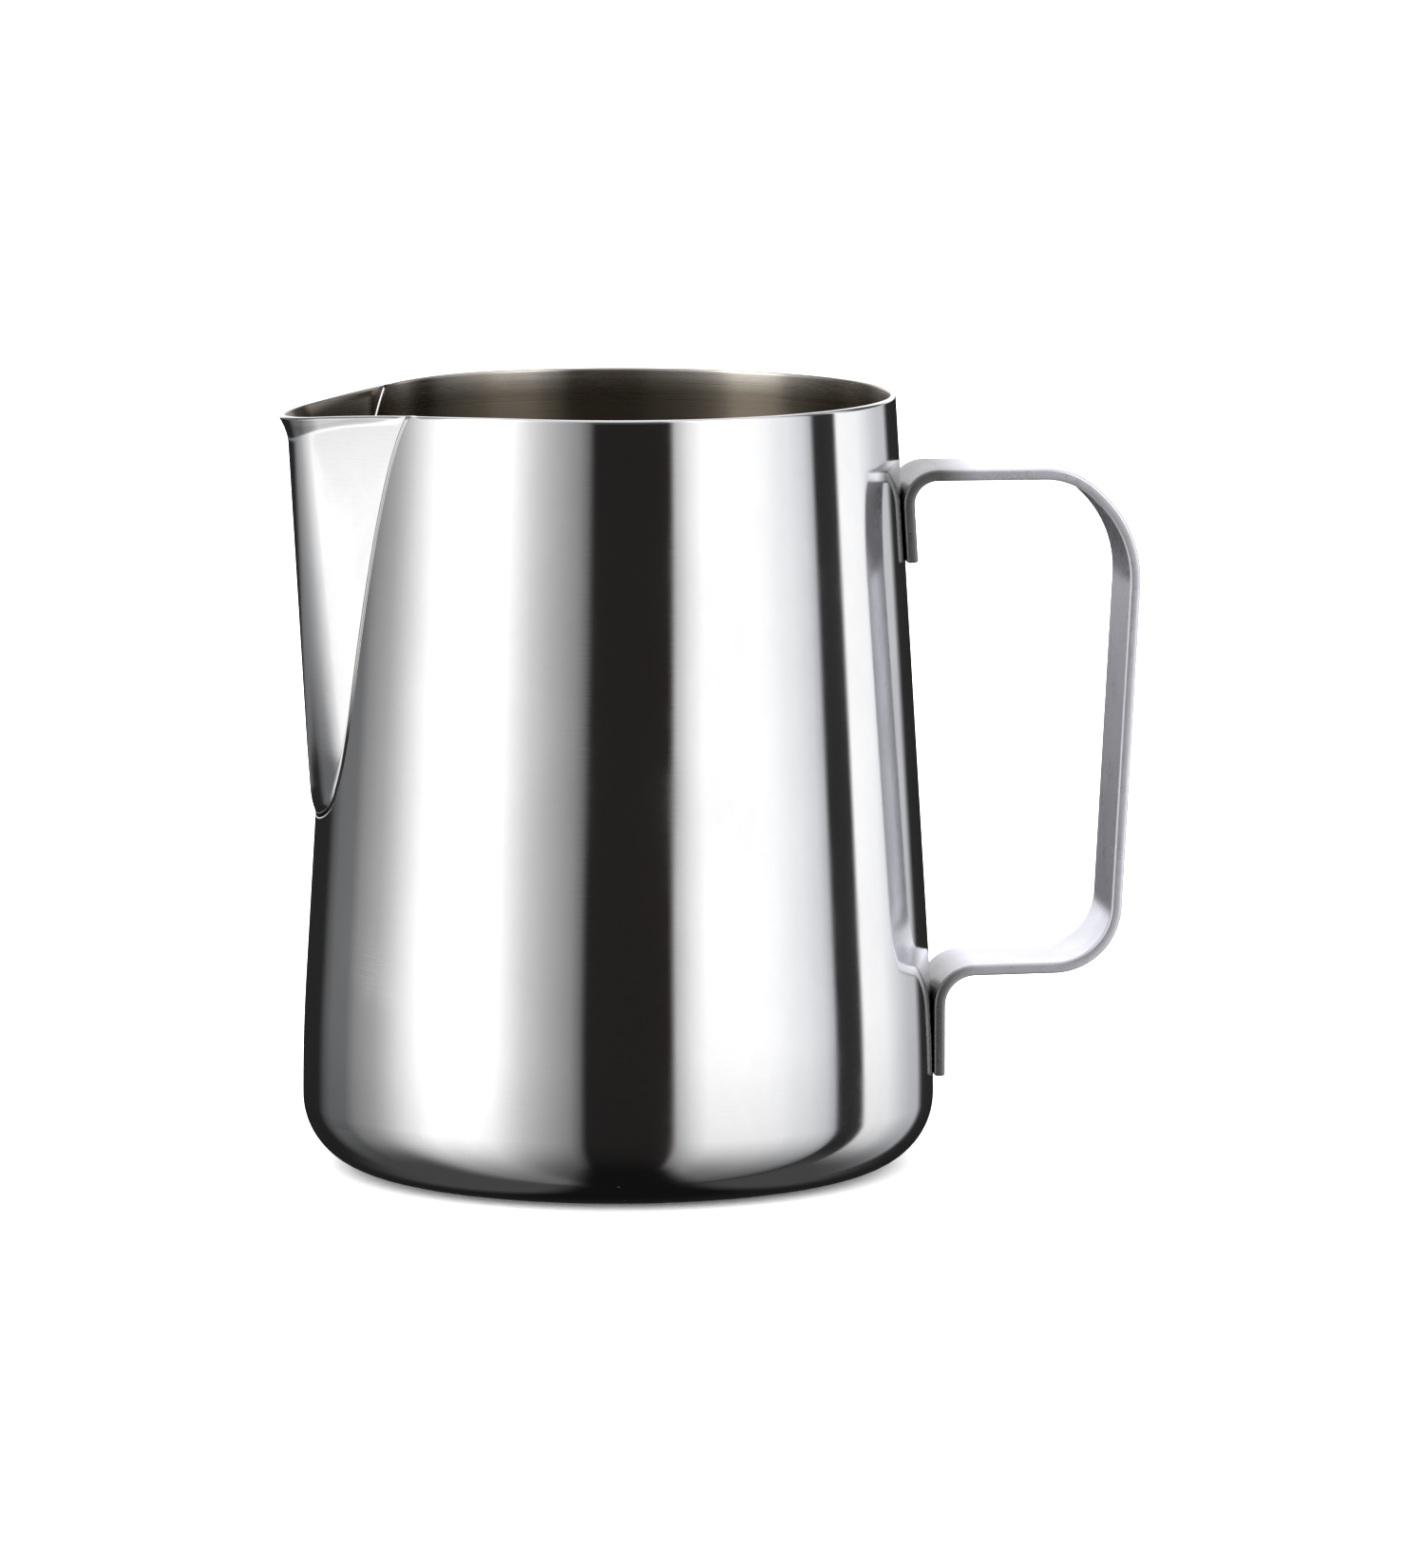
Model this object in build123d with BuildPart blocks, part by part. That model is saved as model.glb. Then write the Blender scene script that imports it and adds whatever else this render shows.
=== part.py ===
from build123d import *
import os
from math import cos, radians, sin, sqrt, tan

# Milk frothing pitcher: a deep-drawn stainless cup, a folded spout welded into an opening cut in
# the cup's wall, and a flat strip handle spot-welded to the opposite side.
# Frame: origin at the centre of the standing ring, +Z up the cup's axis, +X towards the handle,
# -X towards the spout. Lengths are in millimetres and angles in degrees.

# Cup
rim_height = 110.0
cup_radius = 45.0           # widest outside radius, just above the base rounding
base_rounding = 10.0
wall = 0.8                  # sheet thickness of the cup and the spout
side_taper = 3.5            # the straight side leans inward this much
shoulder_radius = 276.0     # long arc between the base rounding and the straight side
panel_rise = 1.4            # underside of the base panel above the table
panel_radius = 29.0
ring_inner_radius = 32.0    # the panel's step meets the standing ring here
rim_rounding = 0.3

# Spout
ridge_at_rim = 47.05        # distance of the spout's ridge from the cup's axis at rim height
ridge_lean = 3.23           # the ridge leans outward this much
nose_at_rim = 14.9          # radius of the rounded nose at rim height
nose_growth = 0.21          # the nose gets rounder downwards, mm of radius per mm of height
flank_angle = 40.5          # plan angle between a flank's normal and the spout's direction
heel_height = 55.5          # below this the spout rounds inward to meet the cup
heel_rounding = 13.0
heel_turn = 80.0            # the rounding goes on this far under the heel
heel_axis = 18.1            # distance of the heel's turning axis from the cup's axis
heel_clearance = 0.1        # the heel's turned form opens by this slope above the heel
lip_height = 3.6            # flared band below the tip of the pouring edge
lip_flare = 1.3             # how far the band leans out at the tip
opening_half_width = 22.6   # opening in the cup's wall, at rim height
opening_slope = 0.18        # its sides close by this much per mm downwards
opening_foot = 50.3         # lowest point of the opening
opening_rounding = 9.0
seam_width = 0.7            # weld metal between the cup and the spout

# Pouring edge seen from the side: flat round the back, then one arc that dips to the spout's tip
dip_start = 16.0            # distance from the cup's axis towards the spout
dip_radius = 190.0
dip_turn = 18.0             # long enough to pass the tip
tip_dip = 2.7               # the edge is this far below the rim at the tip

# Handle, along the middle of the strip's thickness, as (distance from the cup's axis, height)
strip_width = 17.0
strip_thickness = 1.6
strip_edge_rounding = 0.4
arm_height = 98.6
shoulder_corner = (64.3, arm_height)
grip_top = (73.4, 89.9)
grip_foot = (70.15, 28.05)
lower_arm_slope = 0.8       # the lower arm rises this much towards the grip
upper_tab_end = 86.2
lower_tab_end = 12.6
shoulder_bend = 10.5
brow_bend = 16.0
foot_bend = 9.0
upper_tab_bend = 4.1
lower_tab_bend = 5.1
tab_seating = 0.5           # the tab's middle is pressed this far onto the cup's curve

# Spot welds
nugget_diameter = 4.0
nugget_depth = 0.45         # how far each nugget reaches into either sheet
nugget_spacing = 8.0
upper_nugget_height = 90.6
lower_nugget_height = 17.2

taper = radians(side_taper)
shoulder_top = base_rounding + shoulder_radius * sin(taper)
shoulder_top_radius = cup_radius - shoulder_radius * (1 - cos(taper))
neck_height = rim_height - tip_dip - lip_height
beyond = 12.0               # how far cutting forms run past what they cut
spout_foot = 40.0           # the spout's forms start here, below its heel
spout_spare = 1.0           # and end this far above the rim, where the pouring edge trims them


def side_radius(height):
    """Outside radius of the cup's side at a height above the base rounding."""
    if height > shoulder_top:
        return shoulder_top_radius - (height - shoulder_top) * tan(taper)
    return cup_radius - shoulder_radius + sqrt(shoulder_radius**2 - (height - base_rounding) ** 2)


def cup_form(inset, top):
    """Solid of revolution whose skin lies a distance inside the cup's outside skin."""
    floor = panel_rise + inset
    flat_radius = cup_radius - base_rounding
    shoulder = (shoulder_top_radius - inset * cos(taper), shoulder_top - inset * sin(taper))
    rim = (side_radius(top) - inset / cos(taper), top)
    with BuildPart() as form:
        with BuildSketch(Plane.XZ):
            with BuildLine():
                Polyline(
                    (0, top),
                    (0, floor),
                    (panel_radius, floor),
                    (ring_inner_radius, inset),
                    (flat_radius, inset),
                )
                CenterArc((flat_radius, base_rounding), base_rounding - inset, 270, 90)
                RadiusArc((cup_radius - inset, base_rounding), shoulder, shoulder_radius - inset)
                Polyline(shoulder, rim, (0, top))
            make_face()
        revolve(axis=Axis.Z)
    return form.part


def spout_form(inset, low, top):
    """Solid between the two flat flanks and the rounded nose, from a low to a high plane."""
    flank = radians(flank_angle)
    with BuildPart() as form:
        for height in (low, neck_height, top):
            below_rim = rim_height - height
            flare = max(0, height - neck_height) * lip_flare / lip_height
            # The flare pushes the nose's centre outward between flanks that stay in place.
            push = flare / (1 - cos(flank))
            nose = nose_at_rim + nose_growth * below_rim - push * cos(flank) - inset
            ridge = ridge_at_rim - below_rim * tan(radians(ridge_lean)) + flare - inset
            centre = ridge - nose
            bend_x = -centre - nose * cos(flank)
            bend_y = nose * sin(flank)
            back_y = bend_y - bend_x / tan(flank)
            with BuildSketch(Plane.XY.offset(height)):
                with BuildLine():
                    Line((0, -back_y), (bend_x, -bend_y))
                    ThreePointArc((bend_x, -bend_y), (-ridge, 0), (bend_x, bend_y))
                    Polyline((bend_x, bend_y), (0, back_y), (0, -back_y))
                make_face()
        loft(ruled=True)
    return form.part


def heel_form(inset):
    """Solid of revolution that rounds the spout inward at its lower end."""
    ridge = ridge_at_rim - (rim_height - heel_height) * tan(radians(ridge_lean))
    widest = ridge - heel_axis - inset
    rounding = heel_rounding - inset
    top = rim_height + beyond
    top_radius = widest + (top - heel_height) * heel_clearance
    turned = Plane(origin=(-heel_axis, 0, 0), x_dir=(-1, 0, 0), z_dir=(0, 1, 0))
    with BuildPart() as form:
        with BuildSketch(turned):
            with BuildLine():
                Line((top_radius, top), (widest, heel_height))
                under = CenterArc((widest - rounding, heel_height), rounding, 0, -heel_turn)
                Polyline(under @ 1, (0, (under @ 1).Y), (0, top), (top_radius, top))
            make_face()
        revolve(axis=Axis((-heel_axis, 0, 0), (0, 0, 1)))
    return form.part


def opening_form(widening):
    """Cutter for the opening in the cup's wall, seen from the front and run towards the spout."""
    top = rim_height + beyond
    half_top = opening_half_width + opening_slope * beyond
    half_foot = opening_half_width - opening_slope * (rim_height - opening_foot)
    with BuildPart() as form:
        with BuildSketch(Plane.YZ) as outline:
            Polygon(
                (-half_foot, opening_foot),
                (half_foot, opening_foot),
                (half_top, top),
                (-half_top, top),
                align=None,
            )
            fillet(outline.vertices().group_by(Axis.Z)[0], opening_rounding)
            if widening:
                offset(amount=widening)
        extrude(amount=-(ridge_at_rim + beyond))
    return form.part


def above_pouring_edge():
    """Everything above the pouring edge, which dips towards the tip of the spout."""
    top = rim_height + beyond
    with BuildPart() as form:
        with BuildSketch(Plane.XZ):
            with BuildLine():
                dip = CenterArc((-dip_start, rim_height - dip_radius), dip_radius, 90, dip_turn)
                Polyline(dip @ 1, ((dip @ 1).X, top), (-dip_start, top), dip @ 0)
            make_face()
        extrude(amount=cup_radius, both=True)
    return form.part


def nuggets(height):
    """Two weld nuggets across the face where a tab lies on the cup."""
    half = nugget_spacing / 2
    seat = sqrt(side_radius(height) ** 2 - half**2)
    with BuildPart() as form:
        with BuildSketch(Plane.YZ.offset(seat - nugget_depth)):
            with Locations((-half, height), (half, height)):
                Circle(nugget_diameter / 2)
        extrude(amount=2 * nugget_depth)
    return form.part


os.makedirs("parts", exist_ok=True)

cup_outside = cup_form(0, rim_height)
cup_inside = cup_form(wall, rim_height + beyond)
wide_opening = opening_form(seam_width)
opening = opening_form(0)
spout_outside = spout_form(0, spout_foot, rim_height + spout_spare)
spout_inside = spout_form(wall, spout_foot, rim_height + spout_spare) & heel_form(wall)
heel_outside = heel_form(0)
trim = above_pouring_edge()
upper_nuggets = nuggets(upper_nugget_height)
lower_nuggets = nuggets(lower_nugget_height)

# The cup: one drawn sheet, opened for the spout.
with BuildPart() as pitcher_body:
    add(cup_outside)
    add(cup_inside, mode=Mode.SUBTRACT)
    fillet(pitcher_body.edges().group_by(Axis.Z)[-1], rim_rounding)
    add(wide_opening, mode=Mode.SUBTRACT)
    add(trim, mode=Mode.SUBTRACT)
    add(upper_nuggets, mode=Mode.SUBTRACT)
    add(lower_nuggets, mode=Mode.SUBTRACT)
pitcher_body.part.label = "pitcher_body"
export_step(pitcher_body.part, "parts/pitcher_body.step")

# The spout: one sheet with flat flanks and a round nose, closed by its heel at the lower end.
with BuildPart() as pouring_spout:
    add(spout_outside)
    add(heel_outside, mode=Mode.INTERSECT)
    add(opening, mode=Mode.INTERSECT)
    add(spout_inside, mode=Mode.SUBTRACT)
    add(cup_inside, mode=Mode.SUBTRACT)
    add(trim, mode=Mode.SUBTRACT)
pouring_spout.part.label = "pouring_spout"
export_step(pouring_spout.part, "parts/pouring_spout.step")

# The weld metal that fills the gap between the two sheets, down one side and up the other.
with BuildPart() as spout_seam_weld:
    add(cup_outside)
    add(cup_inside, mode=Mode.SUBTRACT)
    add(wide_opening, mode=Mode.INTERSECT)
    add(opening, mode=Mode.SUBTRACT)
    add(trim, mode=Mode.SUBTRACT)
spout_seam_weld.part.label = "spout_seam_weld"
export_step(spout_seam_weld.part, "parts/spout_seam_weld.step")

# The handle: one strip bent in a plane, its two tabs pressed onto the cup.
tab_offset = strip_thickness / 2 - tab_seating
lower_tab_x = side_radius(lower_nugget_height) + tab_offset
lower_arm_end = grip_foot[1] - (grip_foot[0] - lower_tab_x) * tan(radians(lower_arm_slope))
with BuildPart() as handle_strip:
    with BuildSketch(Plane.XZ):
        with BuildLine():
            FilletPolyline(
                (side_radius(upper_tab_end) + tab_offset, upper_tab_end),
                (side_radius(arm_height) + tab_offset, arm_height),
                shoulder_corner,
                grip_top,
                grip_foot,
                (lower_tab_x, lower_arm_end),
                (lower_tab_x, lower_tab_end),
                radius=[upper_tab_bend, shoulder_bend, brow_bend, foot_bend, lower_tab_bend],
            )
        trace(line_width=strip_thickness)
    extrude(amount=strip_width / 2, both=True)
    fillet(handle_strip.faces().filter_by(Axis.Y).edges(), strip_edge_rounding)
    add(cup_outside, mode=Mode.SUBTRACT)
    add(upper_nuggets, mode=Mode.SUBTRACT)
    add(lower_nuggets, mode=Mode.SUBTRACT)
handle_strip.part.label = "handle_strip"
export_step(handle_strip.part, "parts/handle_strip.step")

# Spot welds that hold the tabs, two side by side in each.
upper_nuggets.label = "upper_tab_welds"
export_step(upper_nuggets, "parts/upper_tab_welds.step")
lower_nuggets.label = "lower_tab_welds"
export_step(lower_nuggets, "parts/lower_tab_welds.step")
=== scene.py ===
from math import atan2, ceil, cos, hypot, pi, radians, sin, tan

import bpy
import numpy as np
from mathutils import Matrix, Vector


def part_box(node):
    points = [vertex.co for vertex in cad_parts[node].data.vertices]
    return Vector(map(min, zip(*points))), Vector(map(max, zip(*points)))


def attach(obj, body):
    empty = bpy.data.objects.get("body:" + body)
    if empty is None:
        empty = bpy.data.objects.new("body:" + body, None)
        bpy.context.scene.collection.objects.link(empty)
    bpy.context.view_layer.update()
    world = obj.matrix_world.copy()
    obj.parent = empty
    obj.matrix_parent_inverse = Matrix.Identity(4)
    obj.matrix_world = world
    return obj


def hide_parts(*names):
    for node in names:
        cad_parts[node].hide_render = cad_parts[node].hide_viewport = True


# Milk frothing pitcher: the looks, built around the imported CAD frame.
# The shapes are worked out in millimetres in the CAD frame: +Z up the cup's axis, +X towards the
# handle, -X towards the spout. Blender's metres come in where a mesh, a material or the camera is made.

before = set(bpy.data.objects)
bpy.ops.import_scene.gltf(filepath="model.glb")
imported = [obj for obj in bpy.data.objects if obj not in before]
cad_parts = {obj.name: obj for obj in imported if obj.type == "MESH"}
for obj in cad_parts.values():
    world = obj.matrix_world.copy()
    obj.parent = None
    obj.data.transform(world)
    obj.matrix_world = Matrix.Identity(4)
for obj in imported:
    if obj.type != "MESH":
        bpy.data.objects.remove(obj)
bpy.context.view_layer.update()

MM = 0.001
cup_low, cup_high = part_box("pitcher_body")
handle_low, handle_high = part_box("handle_strip")
cup_width = (cup_high.y - cup_low.y) / MM

# Cup. The widest radius and the rim's height are the CAD node's.
cup_radius = round(cup_width / 2, 1)
rim_height = round(cup_high.z / MM, 1)
base_rounding = 10.0
wall = 0.8
taper = radians(3.5)
shoulder_radius = 276.0
panel_rise = 1.4
panel_radius = 29.0
ring_inner_radius = 32.0
shoulder_top = base_rounding + shoulder_radius * sin(taper)
shoulder_top_radius = cup_radius - shoulder_radius * (1 - cos(taper))

# Spout
ridge_at_rim = 47.05
ridge_lean = radians(3.23)
nose_at_rim = 14.9
nose_growth = 0.21
flank = radians(40.5)
heel_height = 55.5
heel_rounding = 13.0
heel_axis = 18.1
heel_clearance = 0.1
heel_blend = 0.3
seam_width = 0.7
below_the_heel = 44.0
widest_opening = radians(41)

# Pouring edge, seen from the side
dip_start = 16.0
dip_radius = 190.0

# Flare of the pouring lip: how far it leans out beside and at the tip, and how deep the flared band is
flare_half_turn = radians(58)
flare_beside = 0.12
flare_at_tip = 1.18
flare_band_beside = 1.3
flare_band_at_tip = 3.1

# Handle strip: corners of its middle line as (distance from the cup's axis, height)
strip_width = round((handle_high.y - handle_low.y) / MM, 1)
strip_thickness = 1.6
strip_edge_rounding = 0.4
arm_height = 98.6
grip_top = (73.4, 89.9)
grip_foot = (70.15, 28.05)
shoulder_x = 64.3
upper_tab_end = 86.2
lower_tab_end = 12.6
lower_arm_slope = radians(0.8)
tab_offset = 0.3
bends = (4.1, 10.5, 16.0, 9.0, 5.1)
nugget_heights = (90.6, 17.2)
nugget_spacing = 8.0
tab_end_length = 0.3
tab_end_rounding = ((0.3, 0.0), (0.12, 0.09), (0.03, 0.2))
dimple_depth = 0.14
dimple_radius = 1.7
seat_clearance = 0.015

# Fineness of the meshes and of the search for the crease
halvings = 44
crease_turns = 4000
crease_points = 1200
crease_half = 96
back_columns = 298
lip_steps = 8
spout_rows = 72
seam_steps = 7
bead_height = 0.16


# ---------------------------------------------------------------- shapes

def side_radius(height):
    """Outside radius of the cup's side at a height above the base rounding."""
    bulge = np.sqrt(shoulder_radius**2 - (height - base_rounding) ** 2)
    cone = shoulder_top_radius - (height - shoulder_top) * tan(taper)
    return np.where(height > shoulder_top, cone, cup_radius - shoulder_radius + bulge)


def pouring_edge(forward):
    """Height of the pouring edge at a distance from the cup's axis towards the spout's tip."""
    dip = np.maximum(forward - dip_start, 0)
    return rim_height - dip_radius + np.sqrt(dip_radius**2 - dip**2)


def soft_least(a, b, blend):
    """The smaller of two lengths, rounded where they are nearly equal."""
    near = np.maximum(blend - np.abs(a - b), 0) / blend
    return np.minimum(a, b) - near**2 * blend / 4


def spout_reach(angle, height, inset):
    """Distance of the spout's skin from the heel's axis, at an angle from the pouring direction."""
    below = rim_height - height
    ridge = ridge_at_rim - below * tan(ridge_lean)
    nose = nose_at_rim + nose_growth * below
    centre = ridge - nose - heel_axis
    nose = nose - inset
    bend = np.arctan2(nose * sin(flank), centre + nose * cos(flank))
    round_part = centre * np.cos(angle) + np.sqrt(np.maximum(nose**2 - (centre * np.sin(angle)) ** 2, 0))
    flat_part = (nose + centre * cos(flank)) / np.cos(np.abs(angle) - flank)
    skin = np.where(np.abs(angle) < bend, round_part, flat_part)
    heel_ridge = ridge_at_rim - (rim_height - heel_height) * tan(ridge_lean)
    widest = heel_ridge - heel_axis - inset
    rounding = heel_rounding - inset
    sunk = np.clip(heel_height - height, 0, rounding * 0.98)
    heel = widest - rounding + np.sqrt(rounding**2 - sunk**2)
    heel = heel + np.maximum(height - heel_height, 0) * heel_clearance
    return soft_least(skin, heel, heel_blend)


def lip_flare(angle, depth):
    """How far the pouring lip leans out at a depth below its edge."""
    share = np.clip(1 - np.abs(angle) / flare_half_turn, 0, 1)
    amount = flare_beside * np.minimum(share * 4, 1) + flare_at_tip * share**3.2
    band = flare_band_beside + flare_band_at_tip * share**3
    return amount * np.clip(1 - depth / band, 0, 1) ** 2


def crease_height(turn, inset):
    """Height at which the spout's skin leaves the cup's, at an angle about the cup's axis."""
    low = np.full_like(turn, below_the_heel)
    high = np.full_like(turn, rim_height + 6)
    for _ in range(halvings):
        middle = (low + high) / 2
        radius = side_radius(middle) - inset / cos(taper)
        forward = radius * np.cos(turn) - heel_axis
        aside = radius * np.sin(turn)
        outside = spout_reach(np.arctan2(aside, forward), middle, inset) > np.hypot(forward, aside)
        high = np.where(outside, middle, high)
        low = np.where(outside, low, middle)
    return (low + high) / 2


def by_length(points, count):
    """Points spread evenly along a curve."""
    steps = np.linalg.norm(np.diff(points, axis=0), axis=1)
    along = np.concatenate([[0], np.cumsum(steps)])
    wanted = np.linspace(0, along[-1], count)
    return np.stack([np.interp(wanted, along, column) for column in points.T], axis=1)


def cut_at_lip(points, forward):
    """The part of a curve below the pouring edge, ended exactly on it."""
    over = points[:, 1] - pouring_edge(forward)
    last = int(np.argmax(over > 0))
    share = over[last - 1] / (over[last - 1] - over[last])
    end = points[last - 1] + share * (points[last] - points[last - 1])
    return np.vstack([points[:last], end])


def crease_curves(inset, half_count):
    """The crease and the edges of cup and spout beside it, on one skin, as (x, y, z) rows.
    Each runs from the rim on the -Y side, round the heel, to the rim on the +Y side."""
    turn = np.linspace(0, widest_opening, crease_turns)
    height = crease_height(turn, inset)
    keep = height < rim_height + 4
    turn, height = turn[keep], height[keep]
    radius = side_radius(height) - inset / cos(taper)
    flat = np.stack([radius * turn, height], axis=1)
    flat = by_length(flat, crease_points)
    across, height = flat.T
    radius = side_radius(height) - inset / cos(taper)
    slope = np.gradient(flat, axis=0)
    slope /= np.linalg.norm(slope, axis=1)[:, None]
    curves = []
    for shift in (0, 0.5, -0.5):
        moved = flat + shift * seam_width * np.stack([slope[:, 1], -slope[:, 0]], axis=1)
        moved_turn = np.maximum(moved[:, 0], 0) / radius
        x = radius * np.cos(moved_turn)
        y = radius * np.sin(moved_turn)
        if shift < 0:
            angle = np.arctan2(y, x - heel_axis)
            reach = spout_reach(angle, moved[:, 1], inset)
            x = heel_axis + reach * np.cos(angle)
            y = reach * np.sin(angle)
        line = np.stack([x, moved[:, 1], y], axis=1)
        line = line[(moved[:, 0] >= 0) | (np.arange(len(line)) > 40)]
        line[0, 2] = 0
        half = by_length(cut_at_lip(line, line[:, 0]), half_count)
        right = np.stack([-half[:, 0], half[:, 2], half[:, 1]], axis=1)
        left = right[:0:-1] * np.array([1, -1, 1])
        curves.append(np.vstack([left, right]))
    return curves


# ---------------------------------------------------------------- meshes

def new_object(name, points, faces, material):
    """A smooth-shaded object from points in millimetres."""
    mesh = bpy.data.meshes.new(name)
    mesh.from_pydata((np.asarray(points) * MM).tolist(), [], faces)
    mesh.update()
    mesh.polygons.foreach_set("use_smooth", [True] * len(mesh.polygons))
    mesh.materials.append(material)
    made = bpy.data.objects.new(name, mesh)
    bpy.context.collection.objects.link(made)
    return made


class Skin:
    """Collects the points and faces of one surface."""

    def __init__(self):
        self.points = []
        self.faces = []

    def grid(self, rows, closed_across=False):
        """Adds a grid of points, rows x columns x 3, and returns its index array."""
        rows = np.asarray(rows)
        start = len(self.points)
        self.points.extend(rows.reshape(-1, 3).tolist())
        index = np.arange(rows.shape[0] * rows.shape[1]).reshape(rows.shape[:2]) + start
        self.join_rows(index, closed_across)
        return index

    def join_rows(self, index, closed_across=False):
        """Faces between each row of indices and the next."""
        if closed_across:
            index = np.concatenate([index, index[:, :1]], axis=1)
        for below, above in zip(index[:-1], index[1:]):
            for a, b, c, d in zip(below[:-1], below[1:], above[1:], above[:-1]):
                corners = tuple(dict.fromkeys((int(a), int(b), int(c), int(d))))
                if len(corners) > 2:
                    self.faces.append(corners)

    def fan(self, ring, tip):
        """Triangles from a closed ring of indices to one point."""
        self.points.append(tuple(tip))
        top = len(self.points) - 1
        ring = [int(i) for i in ring]
        for a, b in zip(ring, ring[1:] + ring[:1]):
            self.faces.append((a, b, top))


def base_profile(inset):
    """Half-section of the cup's base, from near the axis out to the foot of the side."""
    floor = panel_rise + inset
    dished = np.linspace(2.0, panel_radius - 1.5, 14)
    rows = [(r, floor) for r in dished]
    step = np.linspace(0, 1, 11)
    ease = step**2 * (3 - 2 * step)
    inner = panel_radius - 1.0
    outer = ring_inner_radius + 0.6
    rows += [(inner + (outer - inner) * s, floor + (inset - floor) * e) for s, e in zip(step, ease)]
    flat = cup_radius - base_rounding
    rows += [(r, inset) for r in np.linspace(outer, flat, 5)[1:]]
    arc = np.linspace(0, pi / 2, 26)[1:]
    bend = base_rounding - inset
    rows += [(flat + bend * sin(a), base_rounding - bend * cos(a)) for a in arc]
    return np.array(rows)


outer_crease, outer_cup_edge, outer_spout_edge = crease_curves(0, crease_half)
inner_crease, inner_cup_edge, inner_spout_edge = crease_curves(wall, crease_half)


def round_axis(radius, turn, height):
    """Points at a distance from the cup's axis and an angle about it from the spout's direction."""
    return np.stack([-radius * np.cos(turn), radius * np.sin(turn), height + np.zeros_like(turn)], 1)


def cup_skin():
    """The drawn cup: one sheet with a rounded rim, opened for the spout."""
    back = np.linspace(0, 1, back_columns + 2)[1:-1]

    def top_edge(edge, inset):
        """Top of each column, all round, as (angle about the axis, height)."""
        turn = np.arctan2(edge[:, 1], -edge[:, 0])
        rest = turn[-1] + (2 * pi - 2 * turn[-1]) * back
        height = np.full_like(rest, rim_height)
        for _ in range(5):
            radius = side_radius(height) - inset / cos(taper)
            height = pouring_edge(radius * np.cos(rest))
        return np.concatenate([turn, rest]), np.concatenate([edge[:, 2], height])

    opening = len(outer_cup_edge)
    columns = opening + len(back)
    from_corner = np.minimum(np.arange(columns) - opening + 1, columns - np.arange(columns))
    roundness = np.clip(from_corner / 3, 0, 1)
    roundness[:opening] = 0

    skin = Skin()
    rings = []
    for inset in (0, wall):
        turn, top = top_edge(outer_cup_edge if inset == 0 else inner_cup_edge, inset)
        base = base_profile(inset)
        ends = top - roundness * wall / 2
        drops = np.array([0, 0.12, 0.28, 0.5, 0.75, 1.05, 1.4, 1.8, 2.3, 3.0, 4.0, 5.5, 8, 11, 15])
        foot = base_rounding
        low_rows = np.linspace(0, 1, 40)[1:]
        rows = [round_axis(r, turn, z) for r, z in base]
        side = [foot + (ends - drops[-1] - foot) * share for share in low_rows]
        side += [ends - drop for drop in drops[::-1][1:]]
        for z in side:
            rows.append(round_axis(side_radius(z) - inset / cos(taper), turn, z))
        if inset:
            rows = rows[::-1]
        rings.append((np.array(rows), turn, ends))
    outer_rows, turn, ends = rings[0]
    inner_rows, inner_turn, inner_ends = rings[1]
    rim = []
    for step in range(1, lip_steps):
        share = (1 - cos(pi * step / lip_steps)) / 2
        rise = roundness * wall / 2 * sin(pi * step / lip_steps)
        z = ends + (inner_ends - ends) * share + rise
        t = turn + (inner_turn - turn) * share
        rim.append(round_axis(side_radius(z) - wall * share / cos(taper), t, z))
    index = skin.grid(np.concatenate([outer_rows, rim, inner_rows]), closed_across=True)
    skin.fan(index[0], (0, 0, panel_rise))
    skin.fan(index[-1], (0, 0, panel_rise + wall))
    skin.faces = [face[::-1] for face in skin.faces]
    return skin


def spout_skin():
    """The folded spout: one sheet from the seam up to the flared pouring lip."""
    skin = Skin()
    up = 1 - (1 - np.linspace(0, 1, spout_rows)) ** 1.7
    sheets = []
    for inset, edge in ((0, outer_spout_edge), (wall, inner_spout_edge)):
        foot_angle = np.arctan2(edge[:, 1], -edge[:, 0] - heel_axis)
        foot_height = edge[:, 2]
        widest = foot_angle[-1]
        even = np.linspace(-1, 1, len(edge))
        lip_angle = widest * even
        lip_height = np.full_like(lip_angle, rim_height - 2)
        for _ in range(6):
            reach = spout_reach(lip_angle, lip_height, inset)
            lip_height = pouring_edge(heel_axis + reach * np.cos(lip_angle))
        rounding = wall / 2 * np.clip((1 - np.abs(even)) * 12, 0, 1)
        rows = []
        for share in up:
            angle = foot_angle + (lip_angle - foot_angle) * share
            height = foot_height + (lip_height - rounding - foot_height) * share
            reach = spout_reach(angle, height, inset) + lip_flare(angle, lip_height - height)
            rows.append(np.stack([-heel_axis - reach * np.cos(angle), reach * np.sin(angle), height], 1))
        sheets.append(np.array(rows))
    outer_rows, inner_rows = sheets
    edge_rows = []
    for step in range(1, lip_steps):
        share = (1 - cos(pi * step / lip_steps)) / 2
        row = outer_rows[-1] + (inner_rows[-1] - outer_rows[-1]) * share
        row[:, 2] += rounding * sin(pi * step / lip_steps)
        edge_rows.append(row)
    rows = np.concatenate([outer_rows, edge_rows, inner_rows[::-1]])
    index = skin.grid(rows)
    skin.join_rows(np.vstack([index[-1], index[0]]))
    for column in (0, -1):
        strip = [int(i) for i in index[:, column]]
        pairs = list(zip(strip[:spout_rows], strip[::-1][:spout_rows]))
        for (a, d), (b, c) in zip(pairs[:-1], pairs[1:]):
            skin.faces.append((a, d, c, b) if column else (b, c, d, a))
        lip = tuple(strip[spout_rows - 1:-spout_rows + 1])
        skin.faces.append(lip if column else lip[::-1])
    skin.faces = [face[::-1] for face in skin.faces]
    return skin


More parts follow.
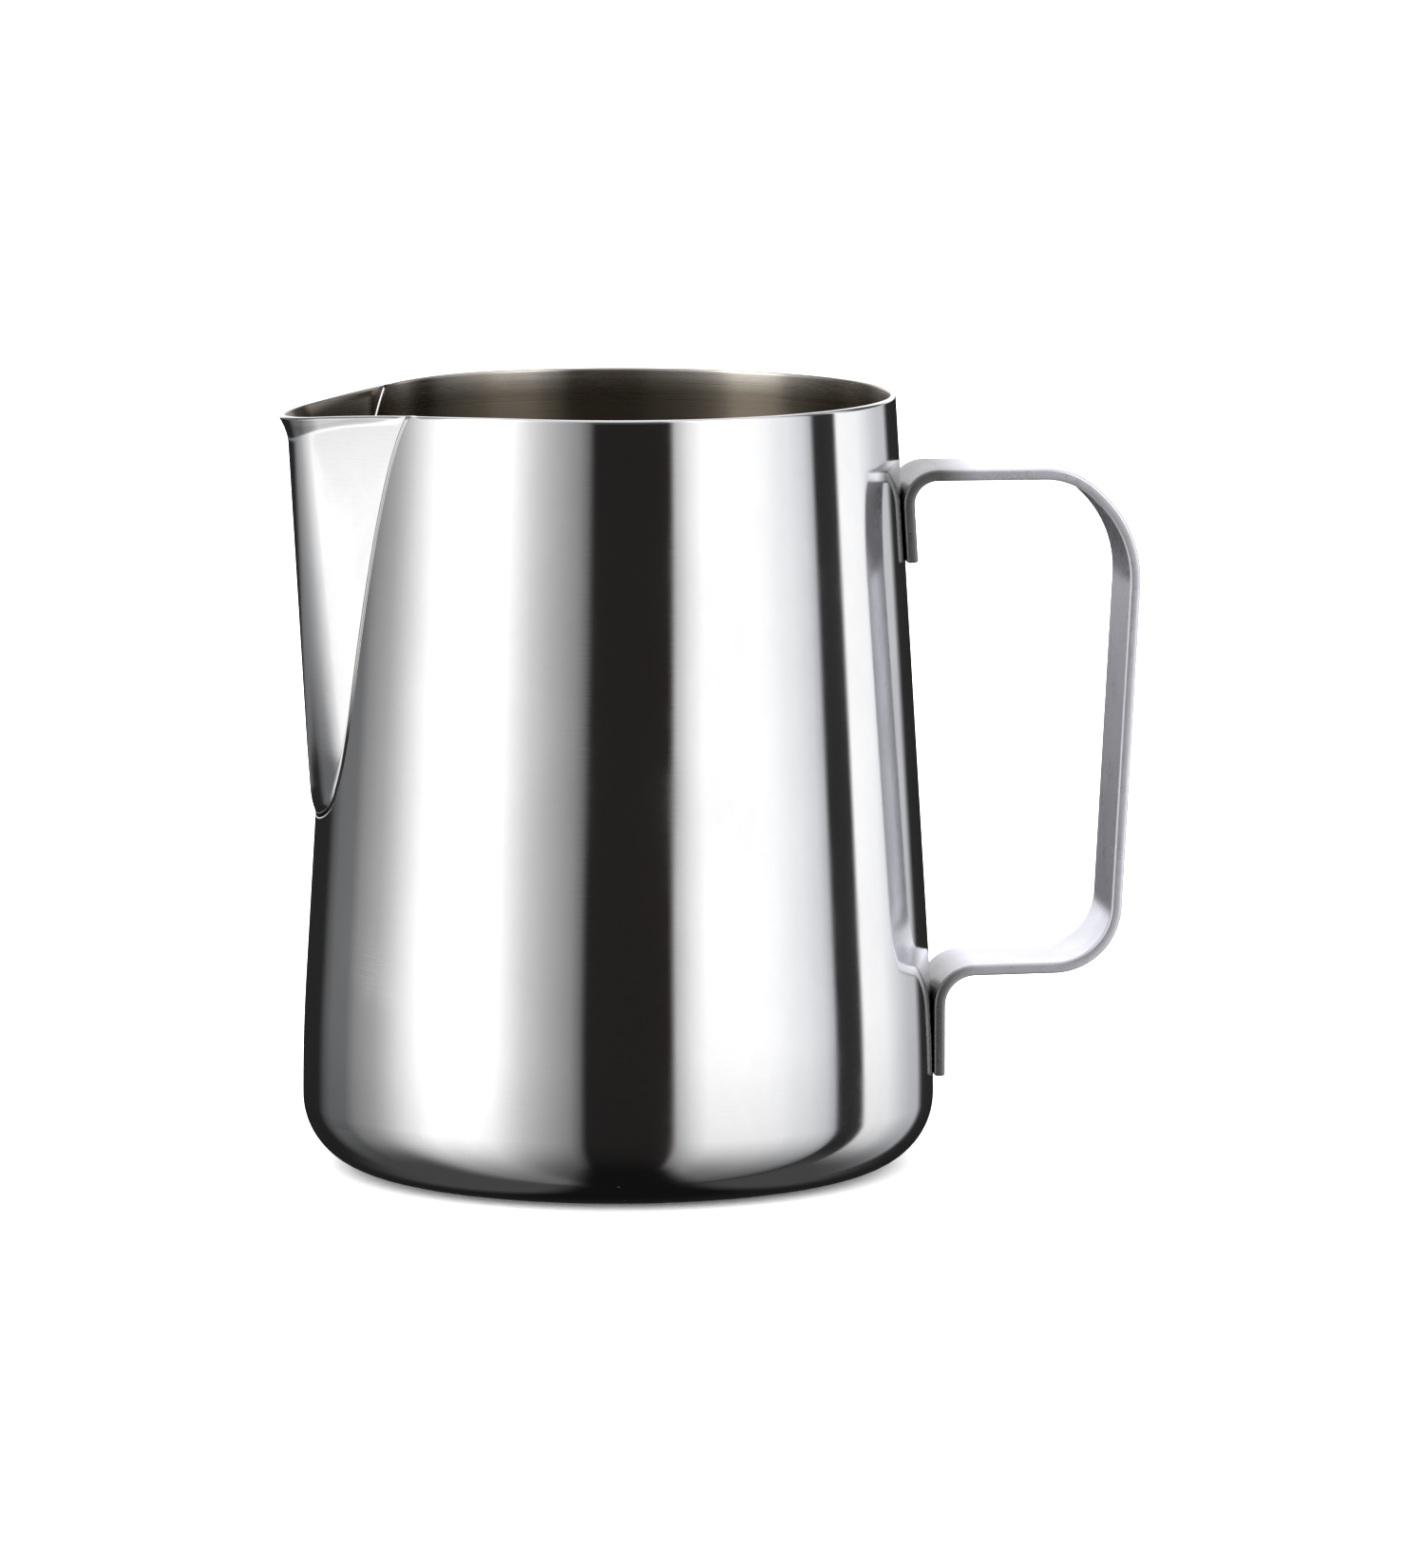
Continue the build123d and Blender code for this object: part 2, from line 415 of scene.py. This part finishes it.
def bent_between(start, corner, end, share):
    """A line part of the way from one edge to another, along a curve bent towards a third."""
    return (1 - share) ** 2 * start + 2 * share * (1 - share) * corner + share**2 * end


def seam_skin():
    """Weld metal between cup and spout: a fillet outside and a low bead inside."""
    skin = Skin()
    steps = np.linspace(0, 1, seam_steps)
    rows = [bent_between(outer_cup_edge, outer_crease, outer_spout_edge, share) for share in steps]
    for share in steps[::-1]:
        bead = bent_between(inner_cup_edge, inner_crease, inner_spout_edge, share)
        inward = np.stack([-bead[:, 0], -bead[:, 1], np.zeros(len(bead))], 1)
        inward /= np.linalg.norm(inward, axis=1)[:, None]
        rows.append(bead + inward * bead_height * sin(pi * share))
    index = skin.grid(np.array(rows))
    skin.join_rows(np.vstack([index[-1], index[0]]))
    skin.faces.append(tuple(int(i) for i in index[:, 0][::-1]))
    skin.faces.append(tuple(int(i) for i in index[:, -1]))
    return skin


def rounded_path(corners, radii, step):
    """A line through corners in a plane with each inner corner rounded, divided finely."""
    corners = [np.array(c, float) for c in corners]
    path = [corners[0]]
    for before, corner, after, radius in zip(corners, corners[1:], corners[2:], radii):
        to_before = (before - corner) / np.linalg.norm(before - corner)
        to_after = (after - corner) / np.linalg.norm(after - corner)
        half = np.arccos(np.clip(to_before @ to_after, -1, 1)) / 2
        reach = radius / tan(half)
        middle = (to_before + to_after) / np.linalg.norm(to_before + to_after)
        centre = corner + middle * radius / sin(half)
        start = corner + to_before * reach - centre
        finish = corner + to_after * reach - centre
        first = atan2(start[1], start[0])
        swing = (atan2(finish[1], finish[0]) - first + pi) % (2 * pi) - pi
        count = max(8, ceil(abs(swing) * radius / step))
        for share in np.linspace(0, 1, count + 1):
            angle = first + swing * share
            path.append(centre + radius * np.array([cos(angle), sin(angle)]))
    path.append(corners[-1])
    fine = [path[0]]
    for a, b in zip(path, path[1:]):
        count = max(1, ceil(np.linalg.norm(b - a) / step))
        fine += [a + (b - a) * k / count for k in range(1, count + 1)]
    return np.array(fine)


def strip_section():
    """Rounded outline of the strip as (across its thickness, across its width), going round."""
    half_t = strip_thickness / 2
    half_w = strip_width / 2
    r = strip_edge_rounding
    flat = np.linspace(-half_w + r, half_w - r, 25)
    quarter = np.linspace(0, pi / 2, 6)
    outline = [(half_t, w) for w in flat]
    outline += [(half_t - r + r * cos(a), half_w - r + r * sin(a)) for a in quarter[1:]]
    outline += [(-half_t + r - r * sin(a), half_w - r + r * cos(a)) for a in quarter]
    outline += [(-half_t, w) for w in flat[::-1][1:]]
    outline += [(-half_t + r - r * cos(a), -half_w + r - r * sin(a)) for a in quarter[1:]]
    outline += [(half_t - r + r * sin(a), -half_w + r - r * cos(a)) for a in quarter[:-1]]
    return np.array(outline)


def handle_skin():
    """The strip handle, bent in a plane, with its tabs seated on the cup."""
    lower_tab_x = float(side_radius(nugget_heights[1])) + tab_offset
    lower_arm_end = grip_foot[1] - (grip_foot[0] - lower_tab_x) * tan(lower_arm_slope)
    corners = (
        (float(side_radius(upper_tab_end)) + tab_offset, upper_tab_end),
        (float(side_radius(arm_height)) + tab_offset, arm_height),
        (shoulder_x, arm_height),
        grip_top,
        grip_foot,
        (lower_tab_x, lower_arm_end),
        (lower_tab_x, lower_tab_end),
    )
    path = rounded_path(corners, bends, 0.6)
    along = np.gradient(path, axis=0)
    along /= np.linalg.norm(along, axis=1)[:, None]
    normal = np.stack([-along[:, 1], along[:, 0]], axis=1)
    section = strip_section()
    rows = [section_at(place, direction, section, 0) for place, direction in zip(path, normal)]
    for end, sign in ((0, 1), (-1, -1)):
        place, direction, side = path[end], normal[end], along[end] * sign
        caps = []
        for inset, back in tab_end_rounding:
            caps.append(section_at(place + side * back, direction, section, inset))
        rows[end] = section_at(place + side * tab_end_length, direction, section, 0)
        rows = caps + rows if end == 0 else rows + caps[::-1]
    skin = Skin()
    index = skin.grid(np.array(rows), closed_across=True)
    skin.faces.append(tuple(int(i) for i in index[0][::-1]))
    skin.faces.append(tuple(int(i) for i in index[-1]))
    points = press_dimples(seat_on_cup(np.array(skin.points)))
    skin.points = points.tolist()
    return skin


def section_at(place, direction, section, inset):
    """The strip's outline set at a point of its path, drawn in by an inset."""
    half_t = strip_thickness / 2
    half_w = strip_width / 2
    t = section[:, 0] * (half_t - inset) / half_t
    w = section[:, 1] * (half_w - inset) / half_w
    x = place[0] + direction[0] * t
    z = place[1] + direction[1] * t
    return np.stack([x, w, z], axis=1)


def seat_on_cup(points):
    """Moves what would sink into the cup out to its skin."""
    skin_radius = side_radius(points[:, 2]) + seat_clearance
    out = np.hypot(points[:, 0], points[:, 1])
    inside = out < skin_radius
    seat = np.sqrt(np.maximum(skin_radius**2 - points[:, 1] ** 2, 0))
    points[:, 0] = np.where(inside, seat, points[:, 0])
    return points


def press_dimples(points):
    """Shallow marks that the welding electrodes leave on the tabs' outer faces."""
    for height in nugget_heights:
        face = float(side_radius(height)) + tab_offset + strip_thickness / 2
        for side in (-0.5, 0.5):
            away = np.hypot(points[:, 1] - side * nugget_spacing, points[:, 2] - height)
            outer = np.abs(points[:, 0] - face) < 0.35
            mark = dimple_depth * np.exp(-((away / dimple_radius) ** 4))
            points[:, 0] -= np.where(outer, mark, 0)
    return points


# ---------------------------------------------------------------- materials

# Heat tint and painted shade of the strip's tabs and bends: full out to the first distance from the cup's
# axis, gone at the second
tint_and_shade_out_to = 45.2
tint_and_shade_gone_from = 50.5
# Depth of the band below the rim where the satin inside is painted brighter: a painted highlight
rim_highlight_band = 4.0


class Nodes:
    """Short calls for building a node tree."""

    def __init__(self, material):
        material.use_nodes = True
        self.tree = material.node_tree
        self.tree.nodes.clear()

    def add(self, kind, inputs=None, **settings):
        made = self.tree.nodes.new(kind)
        for name, value in settings.items():
            setattr(made, name, value)
        for name, value in (inputs or {}).items():
            if isinstance(value, bpy.types.NodeSocket):
                self.tree.links.new(value, made.inputs[name])
            else:
                made.inputs[name].default_value = value
        return made

    def place(self):
        """Where on the piece, in metres."""
        return self.add("ShaderNodeTexCoord").outputs["Object"]

    def lines(self, scale, detail, roughness=0.6):
        """Noise stretched by a scale for each axis, in features per metre."""
        inputs = {"Vector": self.place(), "Scale": scale}
        stretched = self.add("ShaderNodeMapping", inputs).outputs["Vector"]
        settings = {"Vector": stretched, "Scale": 1.0, "Detail": detail, "Roughness": roughness}
        return self.add("ShaderNodeTexNoise", settings).outputs["Fac"]

    def span(self, value, low, high, low_out, high_out):
        """Maps a range of a value to another."""
        inputs = {"Value": value, "From Min": low, "From Max": high}
        inputs.update({"To Min": low_out, "To Max": high_out})
        return self.add("ShaderNodeMapRange", inputs).outputs["Result"]

    def maths(self, operation, a, b):
        """An operation on two values."""
        made = self.add("ShaderNodeMath", {0: a, 1: b}, operation=operation)
        return made.outputs["Value"]

    def blend(self, share, a, b):
        """A colour part of the way from one to another."""
        made = self.add("ShaderNodeMix", {0: share, 6: a, 7: b}, data_type="RGBA")
        return made.outputs[2]

    def uneven(self, one, other, low, high, least, most):
        """A value that changes between two limits with the product of two noises."""
        return self.span(self.maths("MULTIPLY", one, other), low, high, least, most)

    def two_tone(self, noise, low, high, colour, other):
        """A colour that turns into another where a noise rises from one value to the next."""
        return self.blend(self.span(noise, low, high, 0, 1), (*colour, 1), (*other, 1))

    def axis(self, name):
        """How far along an axis a point of the piece is, in metres."""
        return self.add("ShaderNodeSeparateXYZ", {"Vector": self.place()}).outputs[name]

    def bump(self, height, strength, distance, normal=None):
        """A normal tilted by a height."""
        inputs = {"Height": height, "Strength": strength, "Distance": distance}
        if normal is not None:
            inputs["Normal"] = normal
        return self.add("ShaderNodeBump", inputs).outputs["Normal"]

    def finish(self, shader):
        """Makes a shader the material's surface."""
        self.add("ShaderNodeOutputMaterial", {"Surface": shader.outputs["BSDF"]})


def polished_steel(name, colour, tarnish, roughness, across, along, grain, waviness):
    """Bright polished steel: faint polishing lines, slight waviness and handling marks."""
    material = bpy.data.materials.new(name)
    nodes = Nodes(material)
    fine = nodes.lines((across, across, along), 3)
    marks = nodes.lines((38, 38, 26), 4)
    smear = nodes.lines((90, 90, 60), 6, 0.7)
    rough = nodes.uneven(marks, smear, 0.18, 0.42, roughness * 0.8, roughness * 1.5)
    tint = nodes.two_tone(smear, 0.35, 0.75, colour, tarnish)
    wave = nodes.lines((22, 22, 14), 1)
    normal = nodes.bump(wave, waviness, 0.0006)
    normal = nodes.bump(fine, grain, 0.00002, normal)
    shader = nodes.add(
        "ShaderNodeBsdfPrincipled",
        {"Base Color": tint, "Metallic": 1.0, "Roughness": rough, "Normal": normal},
    )
    nodes.finish(shader)
    return material


def strip_steel(name, colour, tarnish, heat_tint_and_shade, roughness):
    """Tumbled steel strip: a soft sheen with fine lengthwise grain, darker near the cup: weld heat tint
    and painted shade on the tabs and bends.
    """
    material = bpy.data.materials.new(name)
    nodes = Nodes(material)
    grain = nodes.lines((900, 3600, 900), 4)
    smear = nodes.lines((120, 120, 70), 5, 0.65)
    rough = nodes.uneven(grain, smear, 0.18, 0.42, roughness * 0.85, roughness * 1.2)
    tint = nodes.two_tone(smear, 0.35, 0.7, colour, tarnish)
    # Near the cup the strip turns dark: partly weld heat tint, partly painted shade on the tabs and in
    # the bends.
    away = nodes.span(nodes.axis("X"), tint_and_shade_out_to * MM, tint_and_shade_gone_from * MM, 0, 1)
    tint = nodes.blend(away, (*heat_tint_and_shade, 1), tint)
    shader = nodes.add(
        "ShaderNodeBsdfPrincipled",
        {
            "Base Color": tint,
            "Metallic": 0.9,
            "Roughness": rough,
            "Normal": nodes.bump(grain, 0.06, 0.00001),
        },
    )
    nodes.finish(shader)
    return material


def satin_steel(name, colour, tarnish, rim_highlight_colour, roughness, anisotropy):
    """Lathe-brushed steel: fine rings round the Z axis that spread light up and down, with a painted
    highlight in a narrow band below the rim."""
    material = bpy.data.materials.new(name)
    nodes = Nodes(material)
    rings = nodes.lines((14, 14, 5200), 3)
    broad = nodes.lines((20, 20, 260), 3)
    rough = nodes.uneven(rings, broad, 0.15, 0.4, roughness * 0.85, roughness * 1.15)
    tint = nodes.two_tone(broad, 0.3, 0.7, colour, tarnish)
    # Painted highlight: towards the rim the inside turns to a light colour.
    rim_highlight_share = nodes.span(nodes.axis("Z"), (rim_height - rim_highlight_band) * MM, (rim_height - 0.6) * MM, 0, 1)
    tint = nodes.blend(nodes.maths("POWER", rim_highlight_share, 1.8), tint, (*rim_highlight_colour, 1))
    round_z = nodes.add("ShaderNodeTangent", direction_type="RADIAL", axis="Z")
    shader = nodes.add(
        "ShaderNodeBsdfPrincipled",
        {
            "Base Color": tint,
            "Metallic": 1.0,
            "Roughness": rough,
            "Normal": nodes.bump(rings, 0.15, 0.00002),
            "Anisotropic": anisotropy,
            "Anisotropic Rotation": 0.25,
            "Tangent": round_z.outputs["Tangent"],
        },
    )
    nodes.finish(shader)
    return material


def weld_metal(name):
    """Ground weld metal: polished high up, and near-black round the heel: painted shade along the crease.
    """
    material = bpy.data.materials.new(name)
    nodes = Nodes(material)
    spots = nodes.lines((700, 700, 700), 4)
    rough = nodes.span(spots, 0.3, 0.7, 0.12, 0.24)
    # Painted shade along the crease: the weld is near-black below the first height and clear by the
    # second.
    shaded_below = heel_height + 8
    shade_gone_above = heel_height + 19
    out_of_shade = nodes.span(nodes.axis("Z"), shaded_below * MM, shade_gone_above * MM, 0, 1)
    bright = nodes.two_tone(spots, 0.35, 0.7, (0.88, 0.88, 0.87), (0.8, 0.79, 0.77))
    dark = nodes.two_tone(spots, 0.35, 0.7, (0.05, 0.045, 0.055), (0.03, 0.027, 0.03))
    shader = nodes.add(
        "ShaderNodeBsdfPrincipled",
        {
            "Base Color": nodes.blend(out_of_shade, dark, bright),
            "Metallic": 1.0,
            "Roughness": rough,
            "Normal": nodes.bump(spots, 0.2, 0.00003),
        },
    )
    nodes.finish(shader)
    return material


mirror = polished_steel("polished_cup", (0.9, 0.9, 0.9), (0.84, 0.84, 0.85), 0.07, 160, 4200, 0.1, 0.12)
spout_mirror = polished_steel(
    "polished_spout", (0.9, 0.9, 0.9), (0.84, 0.84, 0.85), 0.08, 160, 4200, 0.03, 0.05
)
# The strip's third colour is the dark of its tabs and bends: weld heat tint and painted shade.
strip_finish = strip_steel(
    "polished_strip", (0.75, 0.75, 0.8), (0.7, 0.7, 0.745), (0.19, 0.19, 0.185), 0.32
)
# The inside's dark brown colours, far darker than the steel outside, are painted shade of the inside of
# the cup.
satin = satin_steel(
    "brushed_inside", (0.25, 0.213, 0.165), (0.21, 0.178, 0.138), (0.72, 0.67, 0.6), 0.3, 1.0
)
weld = weld_metal("weld_metal")


# ---------------------------------------------------------------- pieces

def inner_faces(made, is_inside):
    """Gives the faces inside the jug the satin finish."""
    made.data.materials.append(satin)
    for polygon in made.data.polygons:
        if is_inside(polygon):
            polygon.material_index = 1


def towards_axis(polygon):
    """True for a face of the inside wall or the inside floor."""
    centre = polygon.center / MM
    facing = polygon.normal.x * centre.x + polygon.normal.y * centre.y
    return facing < -0.3 * hypot(centre.x, centre.y) or (polygon.normal.z > 0.1 and centre.z < 20)


def add_piece(name, skin, material, slot, *replaced):
    made = new_object(name, skin.points, skin.faces, material)
    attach(made, "root")
    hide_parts(*replaced)
    return made


cup = add_piece("cup", cup_skin(), mirror, "cup_steel", "pitcher_body")
inner_faces(cup, towards_axis)
spout = add_piece("spout", spout_skin(), spout_mirror, "spout_steel", "pouring_spout")
inner_faces(spout, towards_axis)
seam = add_piece("spout_seam", seam_skin(), weld, "weld_metal", "spout_seam_weld")
handle = add_piece("handle", handle_skin(), strip_finish, "handle_steel", "handle_strip")
for node in ("upper_tab_welds", "lower_tab_welds"):
    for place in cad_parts[node].material_slots:
        place.material = weld


# ---------------------------------------------------------------- camera

view_turn = radians(6.5)
view_dip = radians(7.751)
camera_place = (-0.1451, -1.3925, 0.24475)
camera_data = bpy.data.cameras.new("camera")
camera_data.sensor_width = 36
camera_data.lens = 228.0
camera = bpy.data.objects.new("camera", camera_data)
camera.location = camera_place
camera.rotation_euler = (pi / 2 - view_dip, 0, -view_turn)
bpy.context.collection.objects.link(camera)
bpy.context.scene.camera = camera


# ---------------------------------------------------------------- studio

def srgb(level):
    """Light level of a grey given from 0 to 255."""
    share = level / 255
    return share / 12.92 if share < 0.04045 else ((share + 0.055) / 1.055) ** 2.4


# Softboxes and dark flags round the jug: (degrees to the left of the camera, grey, warmth).
# The polished side shows each at half its angle.
surround = (
    (-180, 36, 0.0), (-148, 42, 0.02), (-142, 190, -0.03), (-134, 196, -0.03), (-127, 212, -0.03),
    (-116, 246, -0.01), (-102, 252, 0), (-99.5, 46, 0.02), (-88.5, 42, 0), (-86, 180, -0.03),
    (-82, 212, -0.03), (-74, 232, -0.02), (-68, 240, -0.01), (-62, 252, -0.01), (-56, 258, 0),
    (-33, 258, 0), (-27, 228, 0), (-21.5, 182, 0), (-19, 33, 0.1), (10.9, 33, 0.06), (13.5, 104, 0),
    (17, 138, 0), (22, 158, 0), (28, 180, 0), (34, 205, 0), (40, 238, 0), (46, 270, 0), (54, 285, 0),
    (70, 285, 0), (78, 262, 0), (82, 247, 0), (88, 221, 0), (94, 191, 0), (100, 166, 0), (112, 136, 0),
    (118, 108, -0.02), (130, 105, -0.02), (136, 84, -0.02), (142, 38, -0.02), (180, 36, 0),
)
# What the folded spout shows instead, just below what the cup shows: (degrees, grey).
spout_surround = (
    (-180, 60), (80, 268), (103, 266), (107, 242), (115, 212), (123, 178), (133, 148), (144, 128),
    (165, 102), (180, 80),
)
# Where the spout alone looks: the zone's upper edge as (degrees, elevation), and its soft lower edge.
spout_zone = ((80, -4.4), (90, -4.65), (104, -5.1), (124, -6.1), (142, -7.1), (160, -7.5), (180, -7.7))
spout_zone_foot = (-9.2, -8.3)
# The glossy table mirrors the tent, less and less towards straight down: (elevation, share).
table_mirror = (
    (-90, 0.06), (-70, 0.1), (-60, 0.15), (-50, 0.24), (-43, 0.33), (-34, 0.47), (-27, 0.58),
    (-20, 0.68), (-14, 0.76), (-9, 0.84), (-4.5, 1),
)
# Above the horizon the softboxes are far brighter than paper white: (azimuth, half width, gain).
softboxes = ((62, 17, 1.6), (-46, 14, 0.8))
# In front, the stripes lean by an angle between two elevations.
lean_elevation = (-1.6, 1.5)
lean_angle = 2.9
lean_half_width = 50
# Light of paper white, of the darkest part of the table, of the table's far side and of the darkest sky.
paper_white = 1.12
table_black = 0.006
table_behind = 0.062
least_sky = 0.085
# A light behind the jug: (azimuth, elevation where it starts) and (azimuth to either side, strength).
light_behind_start = ((138, -0.5), (152, -5.2))
light_behind_strength = ((138, 0.1), (156, 1.25))
light_behind_tint = np.array([1, 1, 1.04])
roof_colour = np.array([0.75, 0.75, 0.76])


def soft_step(value, low, high):
    """A smooth rise from 0 to 1 between two values."""
    share = np.clip((value - low) / (high - low), 0, 1)
    return share**2 * (3 - 2 * share)


def by_stops(value, stops, column=1):
    """A value read off a list of stops."""
    return np.interp(value, [stop[0] for stop in stops], [stop[column] for stop in stops])


def mixed(before, after, share):
    """A colour part of the way from one to another."""
    return before * (1 - share) + after * share


def side_light(azimuth, elevation):
    """Colour of the softboxes and flags in a direction, in degrees to the left of the camera and up."""
    front = np.exp(-((azimuth / lean_half_width) ** 2))
    lean = lean_angle * np.interp(elevation, lean_elevation, (0, 1)) * front
    level = by_stops(azimuth + lean, surround)
    if azimuth > spout_zone[0][0]:
        edge = by_stops(azimuth, spout_zone)
        on_spout = soft_step(elevation, edge + 0.25, edge - 0.25) * soft_step(elevation, *spout_zone_foot)
        level = mixed(level, by_stops(azimuth, spout_surround), on_spout)
    warmth = by_stops(azimuth + lean, surround, 2)
    light = srgb(level) * paper_white
    return np.array([light * (1 + warmth), light * (1 - abs(warmth) / 3), light * (1 - warmth)])


def on_table(colour, elevation):
    """A colour of the side as the glossy table mirrors it."""
    return mixed(table_black, colour, by_stops(elevation, table_mirror))


def tent_colour(azimuth, elevation):
    """Light that the jug sees from a direction, in degrees to the left of the camera and up."""
    colour = side_light(azimuth, elevation)
    if elevation < 0:
        # The far side of the table is dark grey, and the part right under the jug is black.
        colour = on_table(colour, elevation)
        far_side = soft_step(abs(azimuth), 75, 100) * soft_step(abs(azimuth), 168, 150)
        colour = mixed(colour, table_behind, far_side * soft_step(elevation, -24, -50))
        sideways = sin(radians(azimuth)) * cos(radians(elevation))
        under = soft_step(elevation, -38, -58) * soft_step(abs(sideways + 0.05), 0.27, 0.15)
        colour = mixed(colour, table_black, under)
    else:
        for place, half_width, gain in softboxes:
            inside = soft_step(abs(azimuth - place), half_width, half_width * 0.6)
            colour = colour * (1 + gain * inside * soft_step(elevation, 3, 7))
    start = by_stops(azimuth, light_behind_start)
    above = soft_step(elevation, start, start + 2) * soft_step(abs(azimuth), 100, 120)
    colour = mixed(colour, light_behind_tint * by_stops(abs(azimuth), light_behind_strength), above)
    colour = np.maximum(colour, least_sky * soft_step(elevation, 3, 8))
    return mixed(colour, roof_colour, soft_step(elevation, 46, 52))


def glow_material(name):
    """Emission taken from the colours painted on a stage mesh."""
    material = bpy.data.materials.new(name)
    nodes = Nodes(material)
    paint = nodes.add("ShaderNodeAttribute", attribute_name="glow")
    lamp = nodes.add("ShaderNodeEmission", {"Color": paint.outputs["Color"], "Strength": 1.0})
    nodes.add("ShaderNodeOutputMaterial", {"Surface": lamp.outputs["Emission"]})
    material.cycles.emission_sampling = "NONE"
    return material


def paint_stage(name, skin, colours):
    """A stage mesh, seen only in reflections, that glows in given colours, one for each point."""
    made = new_object(name, skin.points, skin.faces, glow)
    paint = made.data.color_attributes.new("glow", "FLOAT_COLOR", "POINT")
    paint.data.foreach_set("color", np.array(colours, dtype=np.float32).ravel())
    made.visible_camera = False
    made.visible_diffuse = False
    made.visible_shadow = False
    made.visible_transmission = False
    made.visible_volume_scatter = False


glow = glow_material("tent_glow")


def turned(azimuth):
    """An angle about +Z for degrees to the left of the camera."""
    return -np.radians(azimuth) - pi / 2 - view_turn


def make_tent():
    """A light tent round the jug, painted by direction and seen only in reflections."""
    radius = 9000.0
    azimuths = np.arange(-180, 180, 0.5)
    elevations = np.concatenate([
        [-89.9], np.arange(-88, -20, 3), np.arange(-20, -12, 1), np.arange(-12, 4, 0.4),
        np.arange(4, 14, 1), np.arange(14, 90, 4), [89.9],
    ])
    turn = turned(azimuths)
    skin = Skin()
    rows = []
    for up in np.radians(elevations):
        ring = radius * np.cos(up)
        height = np.full_like(turn, radius * np.sin(up))
        rows.append(np.stack([ring * np.cos(turn), ring * np.sin(turn), height], 1))
    skin.grid(np.array(rows), closed_across=True)
    paint_stage("light_tent", skin, [(*tent_colour(a, e), 1) for e in elevations for a in azimuths])


def make_table_card():
    """The part of the table that the cup's foot shows on the spout's side, laid along the lines that
    light takes from the foot, so that the stripes run on down the cup."""
    directions = np.arange(76, 178, 2.0)
    card_steps = 12
    card_height = -0.6
    card_length = np.interp(directions, (76, 104, 130, 178), (350, 310, 290, 330))
    foot_low = 10.0
    foot_rise = 17.0
    below_spout_zone = -20.0
    stripes = [side_light(direction, below_spout_zone) for direction in directions]
    half = turned(directions / 2)
    whole = turned(directions)
    rows = []
    values = []
    for step in range(card_steps, 0, -1):
        away = card_length * step / card_steps
        x = cup_radius * np.cos(half) + away * np.cos(whole)
        y = cup_radius * np.sin(half) + away * np.sin(whole)
        rows.append(np.stack([x, y, np.full_like(x, card_height)], 1))
        seen_from = foot_low + foot_rise * step / card_steps
        for stripe, length in zip(stripes, away):
            dip = -np.degrees(atan2(seen_from, length))
            values.append((*on_table(stripe, dip), 1))
    skin = Skin()
    skin.grid(np.array(rows))
    paint_stage("table_card", skin, values)


def make_floor():
    """A plain pale floor that reaches past every view."""
    half = 12000.0
    drop = 0.2
    steps = np.linspace(-half, half, 9)
    rows = [[(x, y, 0) for x in steps] for y in steps]
    skin = Skin()
    skin.grid(np.array(rows))
    material = bpy.data.materials.new("pale_floor")
    nodes = Nodes(material)
    mottle = nodes.lines((9, 9, 9), 3)
    tint = nodes.blend(mottle, (0.93, 0.93, 0.93, 1), (0.9, 0.9, 0.9, 1))
    shader = nodes.add("ShaderNodeBsdfPrincipled", {"Base Color": tint, "Roughness": 0.9})
    shader.inputs["Specular IOR Level"].default_value = 0.0
    nodes.finish(shader)
    made = new_object("floor", skin.points, skin.faces, material)
    made.location.z = -drop * MM
    made.visible_glossy = False


make_tent()
make_table_card()
make_floor()

world = bpy.data.worlds.new("studio")
world.use_nodes = True
floor_light = 3.2
background = world.node_tree.nodes["Background"]
background.inputs["Color"].default_value = (1, 1, 1, 1)
background.inputs["Strength"].default_value = floor_light
bpy.context.scene.world = world
bpy.context.scene.view_settings.view_transform = "Standard"
